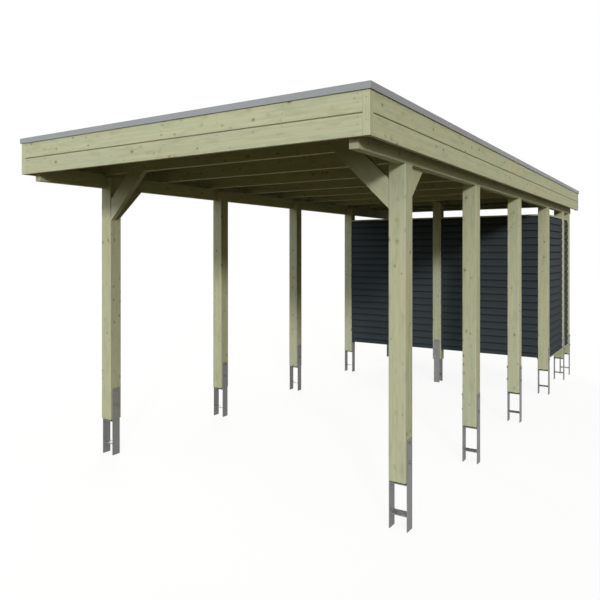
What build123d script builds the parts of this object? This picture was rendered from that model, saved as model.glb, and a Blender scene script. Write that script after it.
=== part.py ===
from build123d import *
import os

# Timber carport with a flat roof and a board-clad storage room at its rear.
# +X is the right-hand side, +Y is the rear, +Z is up, and the anchor tips stand on z = 0.

# Roof plan, over the outer faces of the fascia boards
ROOF_WIDTH = 3140.0
ROOF_LENGTH = 7080.0

# Posts and their places
POST = 120.0                 # square section
POST_BEVEL = 4.0             # planed off the long edges
POST_SHOULDER = 2076.0       # from a post's foot to the notch that carries the purlin
TONGUE_DROP = 25.0           # top of the tongue beside the notch, below the rafters
SIDE_OVERHANG = 100.0        # fascia outer face to post outer face
FRONT_OVERHANG = 720.0       # fascia outer face to the first posts
REAR_OVERHANG = 120.0        # the last posts to the fascia outer face
ROWS = 5
STORAGE_ROW = 3              # the row, counted from 0, that carries the storage room's front wall
LAST_PANEL = 340.0           # clear width between the extra post in the right wall and the rear post

# H-shaped post anchors
ANCHOR_LENGTH = 600.0
ANCHOR_GRIP = 280.0          # length of the plates along the post
ANCHOR_PLATE_WIDTH = 80.0
ANCHOR_PLATE_THICKNESS = 6.0
ANCHOR_CROSS_HEIGHT = 100.0  # middle of the lower cross plate above the tips
ANCHOR_SEAT_GAP = 14.0       # drainage gap between the post's foot and the seat plate
ANCHOR_BOLT_HOLE = 13.0
ANCHOR_BOLT_DROPS = (153.0, 23.0)  # bolt holes below the plates' upper ends

# Purlins lie in notches along the outer side of the post heads
PURLIN_HEIGHT = 120.0
PURLIN_WIDTH = 60.0
PURLIN_SETBACK = 31.0        # purlin ends behind the fascia's inner faces

# Rafters cross the purlins, the first and the last behind the fascia
RAFTER_WIDTH = 45.0
RAFTER_HEIGHT = 145.0
RAFTER_COUNT = 11

# Head braces at the two front posts
BRACE_THICKNESS = 45.0
BRACE_WIDTH = 140.0
CROSS_BRACE_RISE = 412.0     # from the cross brace's foot on the post to the rafter above
SIDE_BRACE_RISE = 290.0      # from the side brace's foot on the post to the purlin above

# Fascia
FASCIA_THICKNESS = 27.0
FASCIA_RAISE = 56.0          # fascia's lower edge above the purlins' underside
LOWER_BOARD = 126.0          # height of the lower fascia board
UPPER_BOARD = 163.0          # height of the upper board, its upper part behind the edge trim
FASCIA_BEVEL = 5.0           # bevel along the joint, which forms a V groove
CORNER_BATTEN = 45.0         # square batten that closes each corner

# Metal edge trim over the fascia
TRIM_DROP = 41.0             # height of the outer leg
TRIM_PROUD = 9.0             # outer leg in front of the fascia
TRIM_COVER = 60.0            # top leg over the roof, from the fascia's outer face
TRIM_SHEET = 1.5
TRIM_PLAY = 0.5              # between the folded trim and the fascia boards
TRIM_HOOK = 14.0             # turned-down inner edge

# Profiled roof sheet
SHEET_THICKNESS = 1.0
SHEET_RIB_PITCH = 205.0
SHEET_RIB_HEIGHT = 35.0
SHEET_RIB_TOP = 40.0
SHEET_RIB_BASE = 75.0
SHEET_CLEARANCE = 3.0        # between the sheet's edges and the fascia's inner faces

# Storage room walls: infill of horizontal profiled boards between the posts
WALL_FOOT_RAISE = 143.0      # lowest board above the posts' feet
WALL_TOP_GAP = 84.5          # top of a wall's rail below the purlins
BOARD_PITCH = 93.2
BOARD_THICKNESS = 28.0
BOARD_COVE = 15.0            # depth of the cove at a board's upper edge
BOARD_COVE_HEIGHT = 50.0
BOARD_GROOVE = 2.0           # open joint under a board's lower edge
SIDE_WALL_RECESS = 6.0       # boards behind the posts' outer faces
FRONT_WALL_RECESS = 2.0
WALL_RAIL_HEIGHT = 20.0      # pale rail along the top of each wall
SIDE_SILL_HEIGHT = 15.0      # pale rail under the side walls
WALL_BATTEN = 45.0           # square batten that holds the board ends to a post
PLATE_CLEARANCE = 2.0        # between an anchor plate and the wall cut out around it

# Places worked out from the sizes above
POST_FOOT = ANCHOR_LENGTH - ANCHOR_GRIP
PURLIN_UNDERSIDE = POST_FOOT + POST_SHOULDER
PURLIN_TOP = PURLIN_UNDERSIDE + PURLIN_HEIGHT
RAFTER_TOP = PURLIN_TOP + RAFTER_HEIGHT
FASCIA_UNDERSIDE = PURLIN_UNDERSIDE + FASCIA_RAISE
FASCIA_JOINT = FASCIA_UNDERSIDE + LOWER_BOARD
FASCIA_TOP = FASCIA_JOINT + UPPER_BOARD
TRIM_TOP = FASCIA_TOP + TRIM_PLAY + TRIM_SHEET
WALL_UNDERSIDE = POST_FOOT + WALL_FOOT_RAISE
WALL_TOP = PURLIN_UNDERSIDE - WALL_TOP_GAP
BOARD_TOP = WALL_TOP - WALL_RAIL_HEIGHT
HALF_WIDTH = ROOF_WIDTH / 2
HALF_LENGTH = ROOF_LENGTH / 2
POST_OUTER = HALF_WIDTH - SIDE_OVERHANG
POST_X = POST_OUTER - POST / 2
FIRST_ROW_Y = -HALF_LENGTH + FRONT_OVERHANG + POST / 2
REAR_Y = HALF_LENGTH - REAR_OVERHANG - POST / 2
BAY = (REAR_Y - FIRST_ROW_Y) / (ROWS - 1)
ROW_Y = [FIRST_ROW_Y + i * BAY for i in range(ROWS)]
STORAGE_Y = ROW_Y[STORAGE_ROW]
EXTRA_Y = REAR_Y - POST - LAST_PANEL
INNER_HALF_WIDTH = HALF_WIDTH - FASCIA_THICKNESS
INNER_HALF_LENGTH = HALF_LENGTH - FASCIA_THICKNESS
RAFTER_PITCH = (2 * INNER_HALF_LENGTH - RAFTER_WIDTH) / (RAFTER_COUNT - 1)
RAFTER_Y = [-INNER_HALF_LENGTH + RAFTER_WIDTH / 2 + i * RAFTER_PITCH for i in range(RAFTER_COUNT)]

os.makedirs("parts", exist_ok=True)


def save(shape, name):
    shape.label = name
    export_step(shape, "parts/" + name + ".step")


def block(x0, x1, y0, y1, z0, z1):
    """Box between two corners."""
    return Pos((x0 + x1) / 2, (y0 + y1) / 2, (z0 + z1) / 2) * Box(x1 - x0, y1 - y0, z1 - z0)


def post_blank(x, y, top):
    """Square timber with bevelled long edges, from the foot to the given height."""
    section = chamfer(Rectangle(POST, POST).vertices(), POST_BEVEL)
    return Pos(x, y, POST_FOOT) * extrude(section, top - POST_FOOT)


def side_post(side, y):
    """Post of a long side, notched on its outer side so that a tongue stands behind the purlin."""
    notch_inner = POST_OUTER - PURLIN_WIDTH
    near, far = sorted((side * notch_inner, side * (POST_OUTER + POST)))
    notch = block(near, far, y - POST, y + POST, PURLIN_UNDERSIDE, PURLIN_TOP + POST)
    return post_blank(side * POST_X, y, PURLIN_TOP - TONGUE_DROP) - notch


def anchor(x, y, turned=False):
    """H anchor: two plates on opposite faces of the post, with a seat under it and a cross plate."""
    plate = Box(ANCHOR_PLATE_THICKNESS, ANCHOR_PLATE_WIDTH, ANCHOR_LENGTH)
    for drop in ANCHOR_BOLT_DROPS:
        hole = Rot(0, 90, 0) * Cylinder(ANCHOR_BOLT_HOLE / 2, ANCHOR_PLATE_THICKNESS)
        plate -= Pos(0, 0, ANCHOR_LENGTH / 2 - drop) * hole
    offset = (POST + ANCHOR_PLATE_THICKNESS) / 2
    cross = Box(POST, ANCHOR_PLATE_WIDTH, ANCHOR_PLATE_THICKNESS)
    pieces = [Pos(sx * offset, 0, ANCHOR_LENGTH / 2) * plate for sx in (-1, 1)]
    seat_middle = POST_FOOT - ANCHOR_SEAT_GAP - ANCHOR_PLATE_THICKNESS / 2
    pieces.append(Pos(0, 0, seat_middle) * cross)
    pieces.append(Pos(0, 0, ANCHOR_CROSS_HEIGHT) * cross)
    return Compound(children=placed(pieces, x, y, 90 if turned else 0))


def prism(points, plane, distance):
    """Solid from a closed outline on a plane."""
    return extrude(plane * make_face(Polyline(*points, close=True)), distance)


def cross_brace(side):
    """45 degree brace across the bay, from a front post's inner face up to the rafter above it."""
    foot_x = POST_OUTER - POST
    rise = CROSS_BRACE_RISE
    foot = PURLIN_TOP - rise
    slant = BRACE_WIDTH * 2 ** 0.5
    outline = [
        (side * foot_x, foot),
        (side * (foot_x - rise), PURLIN_TOP),
        (side * (foot_x - rise + slant), PURLIN_TOP),
        (side * foot_x, foot + slant),
    ]
    middle = min(RAFTER_Y, key=lambda y: abs(y - FIRST_ROW_Y))
    front = middle - BRACE_THICKNESS / 2
    plane = Plane(origin=(0, front, 0), x_dir=(1, 0, 0), z_dir=(0, -1, 0))
    return prism(outline, plane, -BRACE_THICKNESS)


def side_brace(side):
    """45 degree brace along the purlin, from a front post's rear face up to the purlin's underside."""
    foot_y = FIRST_ROW_Y + POST / 2
    rise = SIDE_BRACE_RISE
    foot = PURLIN_UNDERSIDE - rise
    slant = BRACE_WIDTH * 2 ** 0.5
    outline = [
        (foot_y, foot),
        (foot_y + rise, PURLIN_UNDERSIDE),
        (foot_y, PURLIN_UNDERSIDE),
    ]
    if rise > slant:
        outline = outline[:2] + [
            (foot_y + rise - slant, PURLIN_UNDERSIDE),
            (foot_y, foot + slant),
        ]
    near = side * POST_X - BRACE_THICKNESS / 2
    plane = Plane(origin=(near, 0, 0), x_dir=(0, 1, 0), z_dir=(1, 0, 0))
    return prism(outline, plane, BRACE_THICKNESS)


def fascia_board(length, low, high, bevel_low, bevel_high):
    """Board along X with its outer face at y = 0, and bevels where it meets a neighbour."""
    outline = [(FASCIA_THICKNESS, low)]
    if bevel_low:
        outline += [(FASCIA_BEVEL, low), (0, low + FASCIA_BEVEL)]
    else:
        outline += [(0, low)]
    if bevel_high:
        outline += [(0, high - FASCIA_BEVEL), (FASCIA_BEVEL, high)]
    else:
        outline += [(0, high)]
    outline += [(FASCIA_THICKNESS, high)]
    plane = Plane(origin=(-length / 2, 0, 0), x_dir=(0, 1, 0), z_dir=(1, 0, 0))
    return prism(outline, plane, length)


def fascia(length):
    """Two boards, one above the other, with a V groove between them."""
    lower = fascia_board(length, FASCIA_UNDERSIDE, FASCIA_JOINT, False, True)
    upper = fascia_board(length, FASCIA_JOINT, FASCIA_TOP, True, False)
    return lower, upper


def trim_length(length):
    """Folded edge trim along X for a fascia face at y = 0, with both ends mitred."""
    outer = -TRIM_PROUD
    sheet = TRIM_SHEET
    low = TRIM_TOP - TRIM_DROP
    outline = [
        (outer, TRIM_TOP),
        (TRIM_COVER, TRIM_TOP),
        (TRIM_COVER, TRIM_TOP - TRIM_HOOK),
        (TRIM_COVER - sheet, TRIM_TOP - TRIM_HOOK),
        (TRIM_COVER - sheet, TRIM_TOP - sheet),
        (outer + sheet, TRIM_TOP - sheet),
        (outer + sheet, low + sheet),
        (-TRIM_PLAY, low + sheet),
        (-TRIM_PLAY, low),
        (outer, low),
    ]
    ends = []
    for end in (-1, 1):
        mitred = [(end * (length / 2 - y), y, z) for y, z in outline]
        ends.append(make_face(Polyline(*mitred, close=True)))
    return loft(ends, ruled=True)


def corner_battens(grow=0.0):
    """Square battens in the four corners of the fascia, or the room that they need."""
    battens = []
    size = CORNER_BATTEN + grow
    for sx in (-1, 1):
        for sy in (-1, 1):
            x0, x1 = sorted((sx * (HALF_WIDTH - size), sx * HALF_WIDTH))
            y0, y1 = sorted((sy * (HALF_LENGTH - size), sy * HALF_LENGTH))
            battens.append(block(x0, x1, y0, y1, FASCIA_UNDERSIDE, FASCIA_TOP))
    return battens


def roof_sheet():
    """Trapezoid-profiled sheet with ribs along Y, lying on the rafters."""
    half = INNER_HALF_WIDTH - SHEET_CLEARANCE
    ribs = int((2 * half - SHEET_RIB_BASE) // SHEET_RIB_PITCH) + 1
    first = -(ribs - 1) * SHEET_RIB_PITCH / 2
    slope = (SHEET_RIB_BASE - SHEET_RIB_TOP) / 2
    lower_line = [(-half, 0)]
    for i in range(ribs):
        middle = first + i * SHEET_RIB_PITCH
        lower_line += [
            (middle - SHEET_RIB_BASE / 2, 0),
            (middle - SHEET_RIB_BASE / 2 + slope, SHEET_RIB_HEIGHT),
            (middle + SHEET_RIB_BASE / 2 - slope, SHEET_RIB_HEIGHT),
            (middle + SHEET_RIB_BASE / 2, 0),
        ]
    lower_line += [(half, 0)]
    upper_line = [(x, z + SHEET_THICKNESS) for x, z in reversed(lower_line)]
    start = -INNER_HALF_LENGTH + SHEET_CLEARANCE
    plane = Plane(origin=(0, start, RAFTER_TOP), x_dir=(1, 0, 0), z_dir=(0, -1, 0))
    sheet = prism(lower_line + upper_line, plane, 2 * start)
    for room in corner_battens(SHEET_CLEARANCE):
        sheet -= room
    return sheet


def wall_panel(length):
    """Profiled boards along X with their faces at y = 0, one above the other, as one panel."""
    edges = []
    top = BOARD_TOP
    back = BOARD_THICKNESS
    edges.append(Line((back, top), (BOARD_COVE, top)))
    while top - WALL_UNDERSIDE > BOARD_COVE_HEIGHT:
        low = max(top - BOARD_PITCH, WALL_UNDERSIDE)
        cove_end = top - BOARD_COVE_HEIGHT
        edges.append(TangentArc((0, cove_end), (BOARD_COVE, top), tangent=(0, 1)))
        if low - WALL_UNDERSIDE > BOARD_COVE_HEIGHT:
            edges.append(Line((0, cove_end), (0, low + BOARD_GROOVE)))
            edges.append(Line((0, low + BOARD_GROOVE), (BOARD_COVE, low)))
        else:
            low = WALL_UNDERSIDE
            edges.append(Line((0, cove_end), (0, low)))
        top = low
    edges.append(Line((0, WALL_UNDERSIDE), (back, WALL_UNDERSIDE)))
    edges.append(Line((back, WALL_UNDERSIDE), (back, BOARD_TOP)))
    plane = Plane(origin=(-length / 2, 0, 0), x_dir=(0, 1, 0), z_dir=(1, 0, 0))
    return extrude(plane * make_face(Curve() + edges), length)


def wall(length, sill=0.0):
    """Panel, the battens that hold its ends, and the rails, for a wall face at y = 0."""
    half = length / 2
    inner = BOARD_THICKNESS + WALL_BATTEN
    pieces = [wall_panel(length)]
    for near, far in ((-half, -half + WALL_BATTEN), (half - WALL_BATTEN, half)):
        pieces.append(block(near, far, BOARD_THICKNESS, inner, WALL_UNDERSIDE, BOARD_TOP))
    pieces.append(block(-half, half, 0, inner, BOARD_TOP, WALL_TOP))
    if sill:
        pieces.append(block(-half, half, 0, inner, WALL_UNDERSIDE - sill, WALL_UNDERSIDE))
    return pieces


def plate_room(x, y):
    """Room for the two plates of an anchor, with clearance."""
    thick = ANCHOR_PLATE_THICKNESS + PLATE_CLEARANCE
    wide = ANCHOR_PLATE_WIDTH / 2 + PLATE_CLEARANCE
    reach = POST / 2 + thick
    return block(x - reach, x + reach, y - wide, y + wide, 0, ANCHOR_LENGTH + PLATE_CLEARANCE)


def placed(pieces, x, y, turn):
    """Copy of the pieces turned about Z and moved to a wall's middle."""
    return [Pos(x, y, 0) * Rot(0, 0, turn) * piece for piece in pieces]


# Posts and anchors, from the front to the rear on each side
LEFT_POSTS = [("1", ROW_Y[0]), ("2", ROW_Y[1]), ("3", ROW_Y[2]), ("4", STORAGE_Y), ("rear", REAR_Y)]
RIGHT_POSTS = LEFT_POSTS[:4] + [("5", EXTRA_Y), ("rear", REAR_Y)]
for side_name, side, posts in (("left", -1, LEFT_POSTS), ("right", 1, RIGHT_POSTS)):
    for label, y in posts:
        save(side_post(side, y), "post_" + side_name + "_" + label)
        save(anchor(side * POST_X, y), "anchor_" + side_name + "_" + label)

# Middle posts of the storage room's front and rear walls, under a trimmer between two rafters
trimmers = []
for label, y in (("front", STORAGE_Y), ("rear", REAR_Y)):
    save(post_blank(0, y, PURLIN_TOP), "post_middle_" + label)
    save(anchor(0, y, turned=True), "anchor_middle_" + label)
    before = max(r for r in RAFTER_Y if r < y) + RAFTER_WIDTH / 2
    after = min(r for r in RAFTER_Y if r > y) - RAFTER_WIDTH / 2
    half = RAFTER_WIDTH / 2
    trimmers.append(block(-half, half, before, after, PURLIN_TOP, RAFTER_TOP))
save(Compound(children=trimmers), "post_head_trimmers")

# Purlins along both sides
for side_name, side in (("left", -1), ("right", 1)):
    inner, outer = sorted((side * (POST_OUTER - PURLIN_WIDTH), side * POST_OUTER))
    end = INNER_HALF_LENGTH - PURLIN_SETBACK
    save(block(inner, outer, -end, end, PURLIN_UNDERSIDE, PURLIN_TOP), "purlin_" + side_name)

# Rafters from side to side; the first and the last end between the corner battens
rafters = []
for y in RAFTER_Y:
    near, far = y - RAFTER_WIDTH / 2, y + RAFTER_WIDTH / 2
    half = HALF_WIDTH - CORNER_BATTEN if y in (RAFTER_Y[0], RAFTER_Y[-1]) else INNER_HALF_WIDTH
    rafters.append(block(-half, half, near, far, PURLIN_TOP, RAFTER_TOP))
save(Compound(children=rafters), "rafters")

# Head braces
for side_name, side in (("left", -1), ("right", 1)):
    save(cross_brace(side), "cross_brace_" + side_name)
    save(side_brace(side), "side_brace_" + side_name)

# Fascia boards on all four sides, with a square batten in each corner
front_boards = fascia(ROOF_WIDTH - 2 * CORNER_BATTEN)
rear_board = [front_boards[1]]
side_boards = fascia(ROOF_LENGTH - 2 * CORNER_BATTEN)
save(Compound(children=placed(front_boards, 0, -HALF_LENGTH, 0)), "fascia_front")
save(Compound(children=placed(rear_board, 0, HALF_LENGTH, 180)), "fascia_rear")
save(Compound(children=placed(side_boards, -HALF_WIDTH, 0, -90)), "fascia_left")
save(Compound(children=placed(side_boards, HALF_WIDTH, 0, 90)), "fascia_right")

save(Compound(children=corner_battens()), "corner_battens")

# Edge trim round the roof, and the roof sheet inside it
front_trim = trim_length(ROOF_WIDTH)
side_trim = trim_length(ROOF_LENGTH)
trims = placed([front_trim], 0, -HALF_LENGTH, 0) + placed([front_trim], 0, HALF_LENGTH, 180)
trims += placed([side_trim], -HALF_WIDTH, 0, -90) + placed([side_trim], HALF_WIDTH, 0, 90)
save(Compound(children=trims), "roof_edge_trim")
save(roof_sheet(), "roof_sheet")

# Storage room walls between the posts, cut out around the anchor plates
front_length = POST_X - POST
front_middle = POST_X / 2
middle_length = REAR_Y - STORAGE_Y - POST
left_middle = (REAR_Y + STORAGE_Y) / 2
side_face = POST_OUTER - SIDE_WALL_RECESS
plates = [plate_room(side * POST_X, y) for side in (-1, 1) for y in (STORAGE_Y, REAR_Y)]


def save_walls(pieces, name):
    """One node from a wall's pieces, clear of the anchor plates."""
    cleared = []
    for piece in pieces:
        for room in plates:
            if piece.bounding_box().min.Z < ANCHOR_LENGTH:
                piece = piece - room
        cleared.append(piece)
    save(Compound(children=cleared), name)


front_pieces = wall(front_length)
for label, face, turn in (
    ("front", STORAGE_Y - POST / 2 + FRONT_WALL_RECESS, 0),
    ("rear", REAR_Y + POST / 2 - FRONT_WALL_RECESS, 180),
):
    pieces = placed(front_pieces, -front_middle, face, turn)
    pieces += placed(front_pieces, front_middle, face, turn)
    save_walls(pieces, "storage_" + label + "_wall")

left_pieces = wall(middle_length, SIDE_SILL_HEIGHT)
save_walls(placed(left_pieces, -side_face, left_middle, -90), "storage_left_wall")
right_pieces = []
for start, end in ((STORAGE_Y, EXTRA_Y), (EXTRA_Y, REAR_Y)):
    stretch = wall(end - start - POST, SIDE_SILL_HEIGHT)
    right_pieces += placed(stretch, side_face, (start + end) / 2, 90)
save_walls(right_pieces, "storage_right_wall")
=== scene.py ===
import math
import random

import bmesh
import bpy
from mathutils import Matrix, Vector


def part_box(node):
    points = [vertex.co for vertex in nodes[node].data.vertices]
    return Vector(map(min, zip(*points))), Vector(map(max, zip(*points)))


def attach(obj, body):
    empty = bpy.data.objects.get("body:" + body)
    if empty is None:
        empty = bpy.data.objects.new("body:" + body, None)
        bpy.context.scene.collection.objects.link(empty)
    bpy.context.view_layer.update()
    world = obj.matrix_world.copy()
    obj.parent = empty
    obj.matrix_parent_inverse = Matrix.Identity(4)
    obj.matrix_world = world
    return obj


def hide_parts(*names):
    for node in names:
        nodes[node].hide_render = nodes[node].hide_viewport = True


# Timber carport with a board-clad storage room. Metres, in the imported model's frame:
# +X is the right-hand side, +Y is the rear, +Z is up, and the floor is z = 0.

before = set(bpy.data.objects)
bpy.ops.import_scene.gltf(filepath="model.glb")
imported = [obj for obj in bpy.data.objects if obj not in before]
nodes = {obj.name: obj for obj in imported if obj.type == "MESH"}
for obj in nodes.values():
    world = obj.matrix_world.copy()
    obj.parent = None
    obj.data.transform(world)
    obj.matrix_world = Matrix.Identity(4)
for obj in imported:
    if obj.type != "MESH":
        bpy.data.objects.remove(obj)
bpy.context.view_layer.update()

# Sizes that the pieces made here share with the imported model
POST = 0.120
PLATE = 0.006                # thickness of the anchors' plates
BOARD_PITCH = 0.0932
BOARD_THICKNESS = 0.028
BOARD_COVE = 0.015           # depth of the cove at a board's top
BOARD_COVE_HEIGHT = 0.050
WALL_RAIL_HEIGHT = 0.020
SIDE_SILL_HEIGHT = 0.015
WALL_BATTEN = 0.045
CORNER_BATTEN = 0.045
RAFTER_COUNT = 11
RAFTER_WIDTH = 0.045
RIB_COUNT = 15
RIB_PITCH = 0.205
BOLT_HEIGHTS = (0.447, 0.577)
LOWER_CROSS_PLATE = 0.100    # heights of the middles of the anchors' two cross plates
UPPER_CROSS_PLATE = 0.303

# Sizes of details that only the pieces made here have
POST_ARRIS = 0.0015
FASCIA_ARRIS = 0.002
BEAM_ARRIS = 0.003
BOARD_LIP = 0.002            # rounding of a wall board's lower edge
PLATE_CLEARANCE = 0.002      # air between an anchor plate and the walls' boards and battens
TOUCH = 0.001                # points nearer than this count as level with each other
WELD_HALF_LENGTH = 0.037
BOLT_ACROSS_FLATS = 0.019
SCREW_BELOW_TRIM = 0.042
SCREW_BELOW_JOINT = 0.040
SCREW_BESIDE_BATTEN = 0.030
SCREW_HALF_PAIR = 0.022      # half the distance between the two screws of a pair

SIDE_POSTS = ["left_1", "left_2", "left_3", "left_4", "left_rear"]
SIDE_POSTS += ["right_1", "right_2", "right_3", "right_4", "right_5", "right_rear"]
MIDDLE_POSTS = ["middle_front", "middle_rear"]


# Camera at the photograph's place, level, with the view shifted down a little

camera_data = bpy.data.cameras.new("camera")
camera_data.lens = 36.894
camera_data.sensor_width = 36.0
camera_data.shift_y = -0.0790
camera_data.clip_end = 500
camera = bpy.data.objects.new("camera", camera_data)
camera.location = (3.04, -6.533, 1.817)
camera.rotation_euler = (math.radians(90), 0, math.radians(32.65))
bpy.context.scene.collection.objects.link(camera)
bpy.context.scene.camera = camera
bpy.context.scene.view_settings.view_transform = "Standard"


# Short ways to build node trees

def fill(tree, socket, value):
    """Links an input to another socket, or sets its value."""
    if isinstance(value, bpy.types.NodeSocket):
        tree.links.new(value, socket)
    else:
        socket.default_value = value


def fill_all(tree, node, **values):
    """Fills a node's inputs by their names, written with _ for a space."""
    for name, value in values.items():
        fill(tree, node.inputs[name.replace("_", " ")], value)


def put(tree, kind, settings=None, **inputs):
    """A node with its settings, and its inputs given as values or as sockets to link."""
    made = tree.nodes.new(kind)
    for name, value in (settings or {}).items():
        setattr(made, name, value)
    fill_all(tree, made, **inputs)
    return made


def put_in_order(tree, kind, settings, *values):
    """A node with its settings, and its first inputs filled in their own order."""
    made = put(tree, kind, settings)
    for socket, value in zip(made.inputs, values):
        fill(tree, socket, value)
    return made


def calc(tree, operation, *values):
    """Math node on the given values; returns its output."""
    return put_in_order(tree, "ShaderNodeMath", {"operation": operation}, *values).outputs[0]


def times(tree, a, b):
    """The product of two numbers."""
    return calc(tree, "MULTIPLY", a, b)


def vector_calc(tree, operation, *values):
    """Vector Math node; returns its number for LENGTH, and its vector otherwise."""
    made = put_in_order(tree, "ShaderNodeVectorMath", {"operation": operation}, *values)
    return made.outputs["Value" if operation == "LENGTH" else "Vector"]


def stretch(tree, vector, x, y, z):
    """The vector with each part multiplied by its own number."""
    return vector_calc(tree, "MULTIPLY", vector, (x, y, z))


def combine(tree, **parts):
    """The vector with the given X, Y and Z, which are 0 if not given."""
    return put(tree, "ShaderNodeCombineXYZ", **parts).outputs[0]


def span(tree, value, low, high, to_low=0.0, to_high=1.0, smooth=False):
    """Map Range node, clamped; returns its result."""
    settings = {"interpolation_type": "SMOOTHSTEP" if smooth else "LINEAR"}
    values = (value, low, high, to_low, to_high)
    return put_in_order(tree, "ShaderNodeMapRange", settings, *values).outputs[0]


def mix(tree, factor, a, b, mode="MIX"):
    """Colour mix; returns the mixed colour."""
    made = put(tree, "ShaderNodeMix", {"data_type": "RGBA", "blend_type": mode})
    for index, given in ((0, factor), (6, a), (7, b)):
        fill(tree, made.inputs[index], given)
    return made.outputs[2]


def tint(tree, colour, mask, share, other):
    """The colour, moved towards another one by the mask's share."""
    return mix(tree, times(tree, mask, share), colour, other)


def noise(tree, vector, scale=1.0, detail=2.0, roughness=0.5, output="Fac"):
    """Noise texture; returns its value, or three unlike values as its Color."""
    made = put(tree, "ShaderNodeTexNoise",
               Vector=vector, Scale=scale, Detail=detail, Roughness=roughness)
    return made.outputs[output]


def stray(tree, vector, scale, detail, reach):
    """A shift that changes smoothly from place to place, at most half the reach either way."""
    random_vector = noise(tree, vector, scale, detail, output="Color")
    return stretch(tree, vector_calc(tree, "SUBTRACT", random_vector, (0.5, 0.5, 0.5)), *reach)


def cells(tree, vector, scale):
    """Voronoi cells: the distance from the cell's middle, and random numbers for each cell."""
    made = put(tree, "ShaderNodeTexVoronoi", {"voronoi_dimensions": "3D"},
               Vector=vector, Scale=scale).outputs
    return made["Distance"], put(tree, "ShaderNodeSeparateColor", Color=made["Color"]).outputs


def node_group(kind, name, inputs, outputs):
    """Node group with named sockets; returns its tree, what it is given and its result node."""
    tree = bpy.data.node_groups.new(name, kind)
    for in_out, sockets in (("INPUT", inputs), ("OUTPUT", outputs)):
        for label, kind_of_socket, *start in sockets:
            made = tree.interface.new_socket(
                label, in_out=in_out, socket_type="NodeSocket" + kind_of_socket)
            if start:
                made.default_value = start[0]
    given = tree.nodes.new("NodeGroupInput").outputs
    return tree, given, tree.nodes.new("NodeGroupOutput")


def use(tree, group, **inputs):
    """A shader group placed in a material with its own values."""
    return put(tree, "ShaderNodeGroup", {"node_tree": group}, **inputs).outputs


def attribute(tree, name, output="Fac"):
    """A mark that the mesh carries, as a number or as its Vector."""
    return put(tree, "ShaderNodeAttribute", {"attribute_name": name}).outputs[output]


# Shader groups shared by the materials

KNOT_RING = 0.16             # width of the rings in a knot, as a share of its radius


def knots_group():
    """Branch knots scattered through the timber, read from the board's own position."""
    tree, given, result = node_group("ShaderNodeTree", "knots", [
        ("Position", "Vector"),
        ("Cell", "Float", 0.09),
        ("Largest", "Float", 0.012),
        ("Share", "Float", 0.6),
    ], [("Knot", "Float"), ("Halo", "Float"), ("Swerve", "Float"), ("Rings", "Float")])
    longer = stretch(tree, given["Position"], 0.72, 1.0, 1.0)
    uneven = stray(tree, given["Position"], 60.0, 1.0, (0.008, 0.008, 0.008))
    place = vector_calc(tree, "ADD", longer, uneven)
    per_cell = calc(tree, "DIVIDE", 1.0, given["Cell"])
    scaled = put(tree, "ShaderNodeVectorMath", {"operation": "SCALE"},
                 Vector=place, Scale=per_cell).outputs[0]
    distance, lot = cells(tree, scaled, 1.0)
    away = times(tree, distance, given["Cell"])
    there = calc(tree, "LESS_THAN", lot[0], given["Share"])
    size = span(tree, calc(tree, "POWER", lot[1], 2.0), 0.0, 1.0, 0.3, 1.0)
    radius = times(tree, times(tree, size, given["Largest"]), there)
    relative = calc(tree, "DIVIDE", away, calc(tree, "MAXIMUM", radius, 0.00001))
    square = calc(tree, "POWER", calc(tree, "DIVIDE", relative, 2.2), 2.0)
    fill_all(tree, result,
             Knot=span(tree, relative, 1.0, 0.8, smooth=True),
             Halo=span(tree, relative, 2.6, 1.0, smooth=True),
             Swerve=calc(tree, "EXPONENT", times(tree, square, -1.0)),
             Rings=calc(tree, "PINGPONG", relative, KNOT_RING))
    return tree


def figure_group():
    """Growth rings round a pith line, fibres and broad tone, read from the board's position."""
    tree, given, result = node_group("ShaderNodeTree", "timber figure", [
        ("Position", "Vector"),
        ("Ring Width", "Float", 0.006),
        ("Swerve", "Float", 0.0),
    ], [("Late Wood", "Float"), ("Fibre", "Float"), ("Tone", "Float"), ("Streak", "Float"),
        ("Blotch", "Float")])
    place = given["Position"]
    drift = stray(tree, stretch(tree, place, 1.1, 5.0, 5.0), 1.0, 2.0, (0.0, 0.05, 0.05))
    from_pith = vector_calc(tree, "ADD", stretch(tree, place, 0.0, 1.0, 1.0), drift)
    turns = calc(tree, "DIVIDE", vector_calc(tree, "LENGTH", from_pith), given["Ring Width"])
    turns = calc(tree, "ADD", turns, times(tree, given["Swerve"], 1.6))
    ring = calc(tree, "FRACT", turns)
    late = times(tree, calc(tree, "POWER", ring, 2.5), span(tree, ring, 1.0, 0.9))
    each_year = noise(tree, combine(tree, X=calc(tree, "FLOOR", turns)), 3.7)

    def along_grain(along, across, detail, roughness):
        """Noise drawn out along the grain; both numbers are waves per metre."""
        drawn_out = stretch(tree, place, along, across, across)
        return noise(tree, drawn_out, 1.0, detail, roughness)

    fill_all(tree, result,
             Late_Wood=times(tree, late, span(tree, each_year, 0.3, 0.7, 0.35, 1.0)),
             Fibre=along_grain(7.0, 420.0, 3.0, 0.6),
             Tone=along_grain(1.6, 14.0, 3.0, 0.55),
             Streak=along_grain(1.3, 75.0, 2.0, 0.6),
             Blotch=along_grain(7.0, 30.0, 3.0, 0.55))
    return tree


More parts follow.
